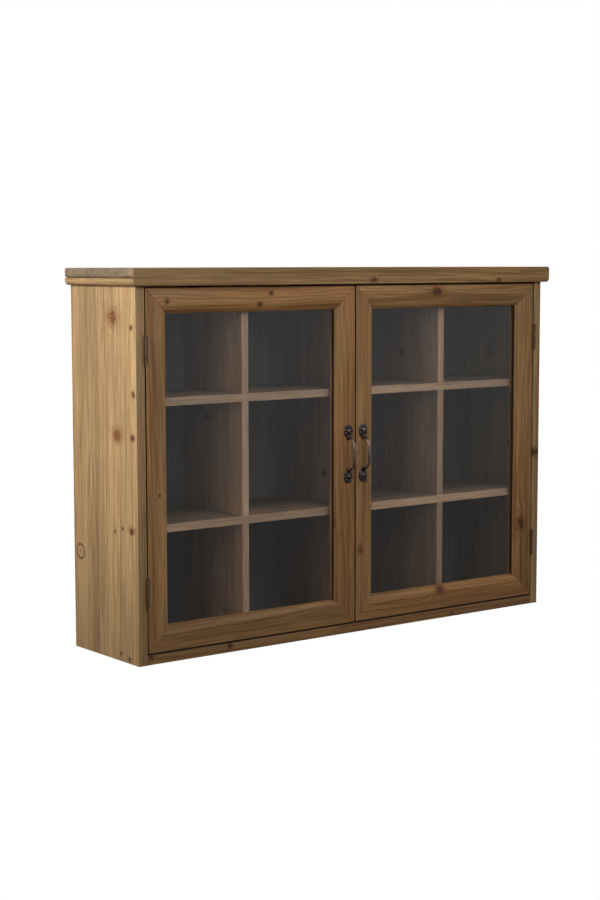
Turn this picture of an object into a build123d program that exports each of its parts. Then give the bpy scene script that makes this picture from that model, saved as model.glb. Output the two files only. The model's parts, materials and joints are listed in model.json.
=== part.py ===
"""Glazed pantry cabinet in knotty pine, millimetres.

X runs across the front, left to right, Y runs from front to back and Z runs up.
The origin is the centre of the base: the carcass stands on Z = 0, and its front
and back lie half its depth either side of Y = 0.
"""
import os

from build123d import *

os.makedirs("parts", exist_ok=True)

# Overall sizes
CAP_W = 1000.0          # width over the cap
CAP_H = 31.0            # height of the cap's front board
SIDE_OVERHANG = 12.0    # cap beyond each side
FRONT_OVERHANG = 13.0   # cap beyond the front
CAP_UPPER_R = 4.0       # upper corners of the cap
CAP_MIDDLE_R = 6.0      # lower corners of the top board, above the strips
CAP_LOWER_R = 8.0       # lower corners of the cap
BODY_D = 220.0          # carcass, front to back
BODY_H = 667.0          # floor to the underside of the cap

# Boards
BOARD = 18.0            # sides, top, bottom and rails
SHELF = 15.0            # shelves and upright dividers
PANEL = 6.0             # back panel
REBATE = 9.0            # width of the step that the back panel lies in
EASED = 1.5             # rounding of an exposed edge
WALL_RAIL_H = 40.0
SHELF_SETBACK = 27.0    # shelf and divider edges, behind the carcass front
ROWS = 3                # compartments above one another

# Doors
GAP = 2.0               # at the sides, bottom and between the doors
TOP_GAP = 3.0
DOOR_T = 22.0
MEMBER_W = 45.0         # width of the stiles and rails
MEMBER_FLAT = 27.0      # flat part of that width
MEMBER_DROP = 8.0       # fall of the rounded inner part
GLASS_AT = 13.5         # front of the glass behind the door's face
GLASS_T = 3.0
GLASS_GAP = 1.0         # round the edge of the pane
BEAD_W = 8.0
BEAD_JOINT = 0.2        # hairline where two beads meet

# Butt hinges
HINGE_Z = (130.0, 556.0)    # centres of the two hinges on each door
HINGE_H = 50.0
KNUCKLES = 5
FRAME_KNUCKLES = (0, 2, 4)
DOOR_KNUCKLES = (1, 3)
KNUCKLE_R = 2.75
KNUCKLE_GAP = 0.3
AXIS_PROUD = 3.2        # hinge axis in front of the door's face
LEAF_T = 0.9
LEAF_D = 21.0           # from the axis to the back edge of a leaf
PIN_R = 1.45
BORE_R = 1.5
PIN_HEAD_R = 2.45
PIN_HEAD_T = 1.2
SWING_GAP = 0.35        # between a leaf and the other leaf's knuckles
LEAF_SCREW_Y = 12.0     # behind the axis
LEAF_SCREW_Z = 15.0     # above and below the hinge's centre

# Pulls
PULL_X = 18.0           # from the line where the doors meet
PULL_Z = 346.0
PULL_HALF = 43.0        # from the pull's centre to each screw
PLATE_T = 2.8
PLATE_RX = 7.1
PLATE_RZ = 10.1
PLATE_FILL = 0.6        # the plate's oval, beyond the petals' centres
PETAL_R = 3.4
PETAL_TURNS = (-110, -72, -36, 0, 36, 72, 110)
DOME_R = 8.0
DOME_RISE = 5.6         # top of the dome in front of the door
BOW_OUT = 21.0          # centre line of the bow in front of the door
BOW_STRAIGHT = 15.0     # half of the bow's straight length, before rounding
BOW_FOOT = 32.0         # where the bow leaves its plates
BOW_START = 1.5         # its centre line there, in front of the door
BOW_BEND = 11.0
BOW_RX = 3.5
BOW_RY = 2.3
BOSS_R = 4.2
SEAT_R = 3.4            # sunk seat of the screw head
SEAT_OUT = 4.4

# Magnetic catches
CATCH_Z = 600.0
CATCH_H = 45.0
CATCH_W = 11.0
CATCH_D = 32.0
STRIKE_T = 1.0
POLE_D = 12.0
POLE_INSET = 2.5        # between a pole's end and the catch's side
POLE_PROUD = 0.7
POLE_GAP = 0.3          # air between the closed door's strike and the poles
POLE_T = 1.5
POLE_Z = 5.0

# Fixings: head radius, head height of a domed head, shank radius and length
LEAF_SCREW = (2.6, 1.25, 13.0)
PULL_SCREW = (3.2, 2.4, 1.6, 18.0)
CATCH_SCREW = (2.8, 1.8, 1.5, 17.0)
STRIKE_SCREW = (2.4, 1.1, 10.0)
PANEL_NAIL = (2.2, 0.8, 18.0)
CATCH_SCREW_Y = 21.0    # behind the divider's front edge
CATCH_SCREW_Z = 14.0    # above and below the catch's centre
STRIKE_SCREW_Z = 16.0
NAIL_ROWS = 6           # up each side
NAIL_X = (-360.0, -180.0, 0.0, 180.0, 360.0)
WALL_HOLE_R = 3.0
WALL_HOLE_X = 300.0

# Places that follow from the sizes
FRONT = -BODY_D / 2
BACK = BODY_D / 2
OUTER_X = CAP_W / 2 - SIDE_OVERHANG
INNER_X = OUTER_X - BOARD
TOP_Z = BODY_H + CAP_H
CEILING_Z = TOP_Z - BOARD
PANEL_Y = BACK - PANEL
FASCIA_FRONT = FRONT - FRONT_OVERHANG
FASCIA_BACK = FASCIA_FRONT + BOARD
SHELF_Y = FRONT + SHELF_SETBACK
RAIL_Y = PANEL_Y - BOARD
RAIL_Z = CEILING_Z - WALL_RAIL_H
WALL_HOLE_Z = RAIL_Z + WALL_RAIL_H / 2
CENTRE_X = SHELF / 2
BAY_W = (INNER_X - CENTRE_X - SHELF) / 2
ROW_H = (CEILING_Z - BOARD - (ROWS - 1) * SHELF) / ROWS
DIVIDER_X = CENTRE_X + BAY_W + SHELF / 2
DOOR_BACK = FRONT + DOOR_T
DOOR_W = INNER_X - GAP - GAP / 2
DOOR_Z = BOARD + GAP
DOOR_H = BODY_H - TOP_GAP - DOOR_Z
DOOR_LEFT_X = {"left": -INNER_X + GAP, "right": GAP / 2}
AXIS_X = INNER_X - GAP / 2
AXIS_Y = FRONT - AXIS_PROUD
PITCH = HINGE_H / KNUCKLES
SIDES = {"left": -1, "right": 1}


def span(a, b):
    """The two limits in rising order."""
    return (min(a, b), max(a, b))


def block(x, y, z, mode=Mode.ADD):
    """A box between two limits on each axis, in the current part."""
    middle = ((x[0] + x[1]) / 2, (y[0] + y[1]) / 2, (z[0] + z[1]) / 2)
    with Locations(middle):
        Box(x[1] - x[0], y[1] - y[0], z[1] - z[0], mode=mode)


def save(part, label):
    """Name a finished piece and write it."""
    part.label = label
    export_step(part, f"parts/{label}.step")


def flat_screw(head_r, shank_r, length):
    """A countersunk screw along -Z, its head flush with Z = 0."""
    with BuildPart() as screw:
        with BuildSketch(Plane.XZ):
            with BuildLine():
                Polyline(
                    (0, 0),
                    (head_r, 0),
                    (shank_r, shank_r - head_r),
                    (shank_r, -length + shank_r),
                    (0, -length),
                    close=True,
                )
            make_face()
        revolve(axis=Axis.Z)
    return screw.part


def domed_screw(head_r, head_h, shank_r, length):
    """A domed screw along -Z, the underside of its head at Z = 0."""
    with BuildPart() as screw:
        with BuildSketch(Plane.XZ):
            with BuildLine():
                Polyline(
                    (head_r, 0),
                    (shank_r, 0),
                    (shank_r, -length + shank_r),
                    (0, -length),
                    (0, head_h),
                )
                RadiusArc((0, head_h), (head_r, 0), (head_r**2 + head_h**2) / (2 * head_h))
            make_face()
        revolve(axis=Axis.Z)
    return screw.part


def placed(piece, points, into):
    """Copies of a screw or nail, pointing along the direction given."""
    away = (-into[0], -into[1], -into[2])
    return [Plane(origin=point, z_dir=away).location * piece for point in points]


def cut(pieces):
    """Take the pieces out of the current part."""
    for piece in pieces:
        add(piece, mode=Mode.SUBTRACT)


# Screws and nails, in the places where they sit
leaf_screw = flat_screw(*LEAF_SCREW)
pull_screw = domed_screw(*PULL_SCREW)
catch_screw = domed_screw(*CATCH_SCREW)
strike_screw = flat_screw(*STRIKE_SCREW)
panel_nail = flat_screw(*PANEL_NAIL)

frame_leaf_screws_at = {}
door_leaf_screws_at = {}
pull_screws_at = {}
catch_screws_at = {}
strike_screws_at = {}
for side, sign in SIDES.items():
    leaf_points = [
        (AXIS_Y + LEAF_SCREW_Y, z + dz) for z in HINGE_Z for dz in (-LEAF_SCREW_Z, LEAF_SCREW_Z)
    ]
    frame_x = sign * (INNER_X - LEAF_T)
    door_x = sign * (INNER_X - GAP + LEAF_T)
    frame_leaf_screws_at[side] = placed(
        leaf_screw, [(frame_x, y, z) for y, z in leaf_points], (sign, 0, 0)
    )
    door_leaf_screws_at[side] = placed(
        leaf_screw, [(door_x, y, z) for y, z in leaf_points], (-sign, 0, 0)
    )
    pull_screws_at[side] = placed(
        pull_screw,
        [(sign * PULL_X, FRONT - SEAT_OUT, PULL_Z + dz) for dz in (-PULL_HALF, PULL_HALF)],
        (0, 1, 0),
    )
    catch_face = sign * (CENTRE_X + CATCH_W)
    catch_screws_at[side] = placed(
        catch_screw,
        [(catch_face, SHELF_Y + CATCH_SCREW_Y, CATCH_Z + dz) for dz in (-CATCH_SCREW_Z, CATCH_SCREW_Z)],
        (-sign, 0, 0),
    )
    strike_x = sign * (CENTRE_X + CATCH_W / 2)
    strike_screws_at[side] = placed(
        strike_screw,
        [(strike_x, DOOR_BACK + STRIKE_T, CATCH_Z + dz) for dz in (-STRIKE_SCREW_Z, STRIKE_SCREW_Z)],
        (0, -1, 0),
    )

nail_step = (RAIL_Z - BOARD) / (NAIL_ROWS - 1)
nail_points = [
    (sign * (INNER_X + REBATE / 2), BACK, BOARD + row * nail_step)
    for sign in SIDES.values()
    for row in range(NAIL_ROWS)
]
nail_points += [(x, BACK, z) for x in NAIL_X for z in (BOARD / 2, WALL_HOLE_Z)]
nails_at = placed(panel_nail, nail_points, (0, -1, 0))
wall_holes_at = [
    Plane(origin=(x, BACK, WALL_HOLE_Z), z_dir=(0, 1, 0)) for x in (-WALL_HOLE_X, WALL_HOLE_X)
]


# Carcass
for side, sign in SIDES.items():
    with BuildPart() as side_board:
        block(span(sign * INNER_X, sign * OUTER_X), (FRONT, BACK), (0, CEILING_Z))
        front_corner = side_board.edges().filter_by(Axis.Z).group_by(Axis.Y)[0]
        fillet(front_corner, EASED / 2)
        # a notch lets the cap's front board in, and a rebate takes the back panel
        block(span(sign * INNER_X, sign * OUTER_X), (FRONT, FASCIA_BACK), (BODY_H, CEILING_Z), Mode.SUBTRACT)
        block(
            span(sign * INNER_X, sign * (INNER_X + REBATE)), (PANEL_Y, BACK), (0, CEILING_Z), Mode.SUBTRACT
        )
        cut(frame_leaf_screws_at[side] + nails_at)
    save(side_board.part, f"side_{side}")

with BuildPart() as bottom_board:
    block((-INNER_X, INNER_X), (FRONT, PANEL_Y), (0, BOARD))
    fillet(bottom_board.edges().filter_by(Axis.X).group_by(Axis.Y)[0], EASED / 2)
    cut(nails_at)
save(bottom_board.part, "bottom_board")

# the cap's front board is mitred to the top board and to the strips under its ends
with BuildPart() as front_room:
    with BuildSketch(Plane.XY.offset(BODY_H)):
        with BuildLine():
            Polyline(
                (-CAP_W / 2, FASCIA_FRONT),
                (CAP_W / 2, FASCIA_FRONT),
                (CAP_W / 2 - BOARD, FASCIA_BACK),
                (-CAP_W / 2 + BOARD, FASCIA_BACK),
                close=True,
            )
        make_face()
    extrude(amount=CAP_H)
    block((-OUTER_X, OUTER_X), (FASCIA_FRONT, FASCIA_BACK), (BODY_H, CEILING_Z))

with BuildPart() as top_board:
    block((-CAP_W / 2, CAP_W / 2), (FASCIA_FRONT, BACK), (CEILING_Z, TOP_Z))
    fillet(top_board.edges().filter_by(Axis.Y).group_by(Axis.Z)[0], CAP_MIDDLE_R)
    fillet(top_board.edges().filter_by(Axis.Y).group_by(Axis.Z)[-1], CAP_UPPER_R)
    fillet(top_board.faces().sort_by(Axis.Y)[0].edges().sort_by(Axis.Z)[1:], EASED)
    add(front_room.part, mode=Mode.SUBTRACT)
save(top_board.part, "top_board")

with BuildPart() as cap_fascia:
    block((-CAP_W / 2, CAP_W / 2), (FASCIA_FRONT, FASCIA_BACK), (BODY_H, TOP_Z))
    fillet(cap_fascia.edges().filter_by(Axis.Y).group_by(Axis.Z)[0], CAP_LOWER_R)
    fillet(cap_fascia.edges().filter_by(Axis.Y).group_by(Axis.Z)[-1], CAP_UPPER_R)
    fillet(cap_fascia.faces().sort_by(Axis.Y)[0].edges(), EASED)
    add(front_room.part, mode=Mode.INTERSECT)
save(cap_fascia.part, "cap_fascia")

for side, sign in SIDES.items():
    with BuildPart() as cap_strip:
        block(span(sign * OUTER_X, sign * CAP_W / 2), (FASCIA_FRONT, BACK), (BODY_H, CEILING_Z))
        outward = Axis.X if sign > 0 else -Axis.X
        outer_face = cap_strip.faces().sort_by(outward)[-1]
        fillet(outer_face.edges().filter_by(Axis.Y).sort_by(Axis.Z)[0], CAP_LOWER_R)
        fillet(cap_strip.faces().sort_by(Axis.Y)[0].edges().sort_by(Axis.Z)[:-1], EASED)
        add(front_room.part, mode=Mode.SUBTRACT)
    save(cap_strip.part, f"cap_strip_{side}")

with BuildPart() as back_panel:
    block((-INNER_X - REBATE, INNER_X + REBATE), (PANEL_Y, BACK), (0, CEILING_Z))
    with Locations(wall_holes_at):
        Hole(WALL_HOLE_R)
    cut(nails_at)
save(back_panel.part, "back_panel")

with BuildPart() as wall_rail:
    block((-INNER_X, INNER_X), (RAIL_Y, PANEL_Y), (RAIL_Z, CEILING_Z))
    with Locations(wall_holes_at):
        Hole(WALL_HOLE_R)
    cut(nails_at)
save(wall_rail.part, "wall_rail")

with BuildPart() as centre_divider:
    block((-CENTRE_X, CENTRE_X), (SHELF_Y, PANEL_Y), (BOARD, CEILING_Z))
    block((-CENTRE_X, CENTRE_X), (RAIL_Y, PANEL_Y), (RAIL_Z, CEILING_Z), Mode.SUBTRACT)
    cut(catch_screws_at["left"] + catch_screws_at["right"])
save(centre_divider.part, "centre_divider")

for side, sign in SIDES.items():
    for row, level in enumerate(("lower", "upper"), start=1):
        shelf_z = BOARD + row * ROW_H + (row - 1) * SHELF
        with BuildPart() as shelf:
            block(span(sign * CENTRE_X, sign * INNER_X), (SHELF_Y, PANEL_Y), (shelf_z, shelf_z + SHELF))
        save(shelf.part, f"shelf_{side}_{level}")
    for row, level in enumerate(("lower", "middle", "upper")):
        floor_z = BOARD + row * (ROW_H + SHELF)
        divider_x = (sign * DIVIDER_X - SHELF / 2, sign * DIVIDER_X + SHELF / 2)
        with BuildPart() as divider:
            block(divider_x, (SHELF_Y, PANEL_Y), (floor_z, floor_z + ROW_H))
            if level == "upper":
                block(divider_x, (RAIL_Y, PANEL_Y), (RAIL_Z, CEILING_Z), Mode.SUBTRACT)
        save(divider.part, f"divider_{side}_{level}")

with BuildPart() as panel_nails:
    for nail in nails_at:
        add(nail)
save(panel_nails.part, "panel_nails")


# Doors
def member_profile():
    """Section of a stile or rail: X is the distance in from the door's edge, Y is depth."""
    inner = MEMBER_W - BEAD_W
    run = MEMBER_W - MEMBER_FLAT
    bend_r = (run**2 + MEMBER_DROP**2) / (2 * MEMBER_DROP)
    half_run = run / 2
    half_drop = bend_r - (bend_r**2 - half_run**2) ** 0.5
    with BuildSketch() as profile:
        with BuildLine():
            RadiusArc((0, EASED), (EASED, 0), -EASED)
            Line((EASED, 0), (MEMBER_FLAT, 0))
            ThreePointArc(
                (MEMBER_FLAT, 0), (MEMBER_FLAT + half_run, half_drop), (MEMBER_W, MEMBER_DROP)
            )
            Polyline(
                (MEMBER_W, MEMBER_DROP),
                (MEMBER_W, GLASS_AT),
                (inner, GLASS_AT),
                (inner, DOOR_T),
                (0, DOOR_T),
                (0, EASED),
            )
        make_face()
    return profile.sketch


def door_member(section, outline, start, x_dir, along, length):
    """A length of the section, its ends mitred by the outline on the door's face."""
    with BuildPart() as member:
        add(Plane(origin=start, x_dir=x_dir, z_dir=along).location * section)
        extrude(amount=length, dir=along)
        with BuildSketch(Plane.XZ.offset(-FRONT)):
            with BuildLine():
                Polyline(*outline, close=True)
            make_face()
        extrude(amount=DOOR_T, dir=(0, 1, 0), mode=Mode.INTERSECT)
    return member.part


def pull_casting(x):
    """A bow pull: a scalloped and domed plate at each end, joined by an arched bow."""
    with BuildPart() as casting:
        with BuildSketch(Plane.XZ.offset(-FRONT)):
            for end in (-1, 1):
                plate_z = PULL_Z + end * PULL_HALF
                with Locations((x, plate_z)):
                    Ellipse(PLATE_RX + PLATE_FILL, PLATE_RZ + PLATE_FILL)
                with Locations((x, plate_z)):
                    for turn in PETAL_TURNS:
                        petal = Vector(0, end).rotate(Axis.Z, turn)
                        with Locations((PLATE_RX * petal.X, PLATE_RZ * petal.Y)):
                            Circle(PETAL_R)
        extrude(amount=PLATE_T)
        for end in (-1, 1):
            with Locations((x, FRONT - DOME_RISE + DOME_R, PULL_Z + end * PULL_HALF)):
                Sphere(DOME_R)
            with Locations((x, FRONT - BOW_START, PULL_Z + end * BOW_FOOT)):
                Sphere(BOSS_R)
        with BuildLine(Plane.YZ.offset(x)) as bow:
            FilletPolyline(
                (FRONT - BOW_START, PULL_Z - BOW_FOOT),
                (FRONT - BOW_OUT, PULL_Z - BOW_STRAIGHT),
                (FRONT - BOW_OUT, PULL_Z + BOW_STRAIGHT),
                (FRONT - BOW_START, PULL_Z + BOW_FOOT),
                radius=BOW_BEND,
            )
        with BuildSketch(Plane(origin=bow.line @ 0, x_dir=(1, 0, 0), z_dir=bow.line % 0)):
            Ellipse(BOW_RX, BOW_RY)
        sweep(path=bow.line)
        split(bisect_by=Plane.XZ.offset(-FRONT), keep=Keep.TOP)
        for end in (-1, 1):
            seat = Plane(origin=(x, FRONT - SEAT_OUT, PULL_Z + end * PULL_HALF), z_dir=(0, -1, 0))
            with BuildSketch(seat):
                Circle(SEAT_R)
            extrude(amount=SEAT_OUT, mode=Mode.SUBTRACT)
    return casting.part


def hinge_leaf(sign, z_mid, plate_x, own, other, screws):
    """One leaf with its knuckles, bored for the pin and cleared for the other leaf."""
    foot = z_mid - HINGE_H / 2
    with BuildPart() as leaf:
        block(plate_x, (AXIS_Y, AXIS_Y + LEAF_D), (foot, foot + HINGE_H))
        for number in own:
            with Locations((sign * AXIS_X, AXIS_Y, foot + (number + 0.5) * PITCH)):
                Cylinder(KNUCKLE_R, PITCH - KNUCKLE_GAP)
        for number in other:
            with Locations((sign * AXIS_X, AXIS_Y, foot + (number + 0.5) * PITCH)):
                Cylinder(KNUCKLE_R + SWING_GAP, PITCH, mode=Mode.SUBTRACT)
        with Locations((sign * AXIS_X, AXIS_Y, z_mid)):
            Cylinder(BORE_R, HINGE_H, mode=Mode.SUBTRACT)
        cut(screws)
    return leaf.part


section = member_profile()

for side, sign in SIDES.items():
    left = DOOR_LEFT_X[side]
    right = left + DOOR_W
    foot = DOOR_Z
    head = DOOR_Z + DOOR_H
    mitre = MEMBER_W
    corners = {
        "foot": [(left, foot), (right, foot), (right - mitre, foot + mitre), (left + mitre, foot + mitre)],
        "head": [(left, head), (right, head), (right - mitre, head - mitre), (left + mitre, head - mitre)],
        "left": [(left, foot), (left + mitre, foot + mitre), (left + mitre, head - mitre), (left, head)],
        "right": [(right, foot), (right - mitre, foot + mitre), (right - mitre, head - mitre), (right, head)],
    }
    hinge_end, meeting_end = ("left", "right") if side == "left" else ("right", "left")
    stiles = {
        "left": door_member(section, corners["left"], (left, FRONT, foot), (1, 0, 0), (0, 0, 1), DOOR_H),
        "right": door_member(section, corners["right"], (right, FRONT, head), (-1, 0, 0), (0, 0, -1), DOOR_H),
    }

    with BuildPart() as hinge_stile:
        add(stiles[hinge_end])
        cut(door_leaf_screws_at[side])
    save(hinge_stile.part, f"{side}_hinge_stile")

    with BuildPart() as meeting_stile:
        add(stiles[meeting_end])
        cut(pull_screws_at[side] + strike_screws_at[side])
    save(meeting_stile.part, f"{side}_meeting_stile")

    bottom_rail = door_member(section, corners["foot"], (right, FRONT, foot), (0, 0, 1), (-1, 0, 0), DOOR_W)
    save(bottom_rail, f"{side}_bottom_rail")

    top_rail = door_member(section, corners["head"], (left, FRONT, head), (0, 0, -1), (1, 0, 0), DOOR_W)
    save(top_rail, f"{side}_top_rail")

    glass_front = FRONT + GLASS_AT
    glass_back = glass_front + GLASS_T
    edge = MEMBER_W - BEAD_W
    pane = edge + GLASS_GAP
    with BuildPart() as glass:
        block((left + pane, right - pane), (glass_front, glass_back), (foot + pane, head - pane))
    save(glass.part, f"{side}_glass")

    with BuildPart() as glazing_beads:
        for x in (left + edge, right - MEMBER_W):
            block((x, x + BEAD_W), (glass_back, DOOR_BACK), (foot + edge, head - edge))
        bead_x = (left + MEMBER_W + BEAD_JOINT, right - MEMBER_W - BEAD_JOINT)
        for z in (foot + edge, head - MEMBER_W):
            block(bead_x, (glass_back, DOOR_BACK), (z, z + BEAD_W))
    save(glazing_beads.part, f"{side}_glazing_beads")

    with BuildPart() as pull:
        add(pull_casting(sign * PULL_X))
        cut(pull_screws_at[side])
    save(pull.part, f"{side}_pull")

    with BuildPart() as pull_screws:
        for screw in pull_screws_at[side]:
            add(screw)
    save(pull_screws.part, f"{side}_pull_screws")

    catch_x = span(sign * CENTRE_X, sign * (CENTRE_X + CATCH_W))
    catch_z = (CATCH_Z - CATCH_H / 2, CATCH_Z + CATCH_H / 2)
    with BuildPart() as strike:
        block(catch_x, (DOOR_BACK, DOOR_BACK + STRIKE_T), catch_z)
        cut(strike_screws_at[side])
    save(strike.part, f"{side}_strike")

    with BuildPart() as strike_screws:
        for screw in strike_screws_at[side]:
            add(screw)
    save(strike_screws.part, f"{side}_strike_screws")

    pole_front = DOOR_BACK + STRIKE_T + POLE_GAP
    pole_x = (catch_x[0] + POLE_INSET, catch_x[1] - POLE_INSET)
    pole_z = [(CATCH_Z + dz - POLE_T / 2, CATCH_Z + dz + POLE_T / 2) for dz in (-POLE_Z, POLE_Z)]
    with BuildPart() as catch_poles:
        for z in pole_z:
            block(pole_x, (pole_front, pole_front + POLE_D), z)
    save(catch_poles.part, f"{side}_catch_poles")

    with BuildPart() as catch:
        block(catch_x, (pole_front + POLE_PROUD, pole_front + CATCH_D), catch_z)
        for z in pole_z:
            block(pole_x, (pole_front, pole_front + POLE_D), z, Mode.SUBTRACT)
        cut(catch_screws_at[side])
    save(catch.part, f"{side}_catch")

    frame_plate = span(sign * INNER_X, sign * (INNER_X - LEAF_T))
    door_plate = span(sign * (INNER_X - GAP), sign * (INNER_X - GAP + LEAF_T))
    for z_mid, level in zip(HINGE_Z, ("lower", "upper")):
        frame_leaf = hinge_leaf(
            sign, z_mid, frame_plate, FRAME_KNUCKLES, DOOR_KNUCKLES, frame_leaf_screws_at[side]
        )
        save(frame_leaf, f"{side}_frame_leaf_{level}")
        door_leaf = hinge_leaf(
            sign, z_mid, door_plate, DOOR_KNUCKLES, FRAME_KNUCKLES, door_leaf_screws_at[side]
        )
        save(door_leaf, f"{side}_door_leaf_{level}")

    with BuildPart() as door_leaf_screws:
        for screw in door_leaf_screws_at[side]:
            add(screw)
    save(door_leaf_screws.part, f"{side}_leaf_screws")

    with BuildPart() as hinge_pins:
        for z_mid in HINGE_Z:
            with Locations((sign * AXIS_X, AXIS_Y, z_mid)):
                Cylinder(PIN_R, HINGE_H)
            for end in (-1, 1):
                head_z = z_mid + end * (HINGE_H + PIN_HEAD_T) / 2
                with Locations((sign * AXIS_X, AXIS_Y, head_z)):
                    Cylinder(PIN_HEAD_R, PIN_HEAD_T)
    save(hinge_pins.part, f"{side}_hinge_pins")

with BuildPart() as frame_leaf_screws:
    for screw in frame_leaf_screws_at["left"] + frame_leaf_screws_at["right"]:
        add(screw)
save(frame_leaf_screws.part, "frame_leaf_screws")

with BuildPart() as catch_screws:
    for screw in catch_screws_at["left"] + catch_screws_at["right"]:
        add(screw)
save(catch_screws.part, "catch_screws")
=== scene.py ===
import json
import math

import bmesh
import bpy
from mathutils import Euler, Matrix, Vector


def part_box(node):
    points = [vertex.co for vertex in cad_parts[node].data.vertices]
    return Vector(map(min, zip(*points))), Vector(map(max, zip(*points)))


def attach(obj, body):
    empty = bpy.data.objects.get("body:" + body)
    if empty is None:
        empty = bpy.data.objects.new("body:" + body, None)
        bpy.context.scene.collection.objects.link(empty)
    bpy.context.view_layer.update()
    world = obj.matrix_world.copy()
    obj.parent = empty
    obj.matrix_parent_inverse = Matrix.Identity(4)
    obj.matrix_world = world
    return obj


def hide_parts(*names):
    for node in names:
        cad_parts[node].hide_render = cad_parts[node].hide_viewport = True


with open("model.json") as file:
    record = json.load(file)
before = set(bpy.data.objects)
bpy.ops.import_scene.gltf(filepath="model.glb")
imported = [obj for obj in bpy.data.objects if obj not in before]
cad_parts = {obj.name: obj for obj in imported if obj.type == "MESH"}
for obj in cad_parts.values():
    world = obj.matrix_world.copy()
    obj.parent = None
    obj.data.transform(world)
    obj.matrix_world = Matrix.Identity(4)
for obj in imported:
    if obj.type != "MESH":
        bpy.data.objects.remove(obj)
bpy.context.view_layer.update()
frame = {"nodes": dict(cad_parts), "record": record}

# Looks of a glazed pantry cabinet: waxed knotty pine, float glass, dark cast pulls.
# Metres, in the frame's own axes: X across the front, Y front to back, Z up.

MM = 0.001

BODY_OF = {
    node: body for body, nodes in frame["record"]["behaviour"]["bodies"].items() for node in nodes
}

# Places read from the frame
FRONT_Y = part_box("bottom_board")[0][1]
CAP_LOW, CAP_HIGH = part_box("cap_fascia")
CENTRE_X = (CAP_LOW[0] + CAP_HIGH[0]) / 2


# ---------------------------------------------------------------- materials
def linear(hex_colour):
    """An sRGB hex colour as linear RGBA."""
    parts = [int(hex_colour[i:i + 2], 16) / 255 for i in (1, 3, 5)]
    return [c / 12.92 if c <= 0.04045 else ((c + 0.055) / 1.055) ** 2.4 for c in parts] + [1.0]


def node(tree, kind, links=None, **settings):
    """Add a node with its settings, and give its inputs a value or a link each."""
    made = tree.nodes.new(kind)
    for key, value in settings.items():
        setattr(made, key, value)
    for key, value in (links or {}).items():
        if isinstance(value, bpy.types.NodeSocket):
            tree.links.new(value, made.inputs[key])
        else:
            made.inputs[key].default_value = value
    return made


def ramp(tree, fac, stops):
    """A grey ramp through (place, value) stops."""
    made = node(tree, "ShaderNodeValToRGB", {"Fac": fac})
    bands = made.color_ramp
    while len(bands.elements) < len(stops):
        bands.elements.new(0.5)
    for element, (place, value) in zip(bands.elements, stops):
        element.position = place
        element.color = (value, value, value, 1)
    return made.outputs["Color"]


def maths(tree, operation, a, b=0.0):
    """The value that an operation makes of two others."""
    return node(tree, "ShaderNodeMath", {0: a, 1: b}, operation=operation).outputs[0]


def mix(tree, fac, a, b, blend="MIX"):
    """Mix two colours."""
    made = node(tree, "ShaderNodeMix", data_type="RGBA", blend_type=blend)
    for socket, value in ((made.inputs[0], fac), (made.inputs[6], a), (made.inputs[7], b)):
        if isinstance(value, bpy.types.NodeSocket):
            tree.links.new(value, socket)
        else:
            socket.default_value = value
    return made.outputs[2]


def fade(tree, value, low, high, to_low=0.0, to_high=1.0):
    """A smooth step of the value between two limits."""
    made = node(
        tree, "ShaderNodeMapRange", {0: value, 1: low, 2: high, 3: to_low, 4: to_high},
        interpolation_type="SMOOTHSTEP",
    )
    return made.outputs[0]


def blank_material(name):
    """A material with only its output and a Principled shader."""
    material = bpy.data.materials.new(name)
    material.use_nodes = True
    tree = material.node_tree
    tree.nodes.clear()
    shader = node(tree, "ShaderNodeBsdfPrincipled")
    output = node(tree, "ShaderNodeOutputMaterial", {"Surface": shader.outputs[0]})
    return material, tree, shader, output


def noise(tree, at, scale, detail, roughness=0.5):
    """The value of a noise pattern at the coordinates given."""
    settings = {"Vector": at, "Scale": scale, "Detail": detail, "Roughness": roughness}
    return node(tree, "ShaderNodeTexNoise", settings).outputs["Fac"]


def stretched(tree, at, scale):
    """Coordinates multiplied by a scale on each axis."""
    return node(tree, "ShaderNodeMapping", {"Vector": at, "Scale": scale}).outputs[0]


def set_surface(tree, shader, colour, roughness, height, strength, depth):
    """Wire a colour, a roughness and a relief, whose full depth is given, to the shader."""
    tree.links.new(colour, shader.inputs["Base Color"])
    tree.links.new(roughness, shader.inputs["Roughness"])
    relief = node(tree, "ShaderNodeBump", {"Height": height, "Strength": strength, "Distance": depth})
    tree.links.new(relief.outputs[0], shader.inputs["Normal"])


# ---------------------------------------------------------------- pine
# Turns that lay the grain along the pattern's X
GRAIN_TURN = {"X": (0, 0, 0), "Y": (0, 0, -math.pi / 2), "Z": (0, math.pi / 2, 0)}

# Early wood, late wood and the darker bands; then how strongly the rings show, the darkest tone of
# the broad streaks and the darkest tone of the fibre
FINISHES = {
    "side": ("#CFA976", "#A9794A", "#AC8250", 0.4, 0.84, 0.72),
    "door": ("#C79862", "#94673A", "#8A5E34", 0.62, 0.76, 0.78),
    "cap": ("#B98F5A", "#8C6636", "#856039", 0.62, 0.76, 0.78),
    "cap_top": ("#B49978", "#8C7353", "#83694C", 0.62, 0.76, 0.78),
    "inner": ("#C19A7D", "#B48E72", "#B28D71", 0.62, 0.76, 0.78),
    "sheet": ("#4C4745", "#46413F", "#45403E", 0.62, 0.76, 0.78),
}
WARM_WAX = "#F4D2A8"
BARK = "#6B4226"
AMBER_HALO = "#C9A078"
AMBER_CORE = "#D8A46E"
PITCH_SPECK = "#38200F"
BROWN_HALO = "#A28458"
LOOSE_KNOT = ("#371C08", "#5C3616")
WAX_IOR = 1.48

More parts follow.
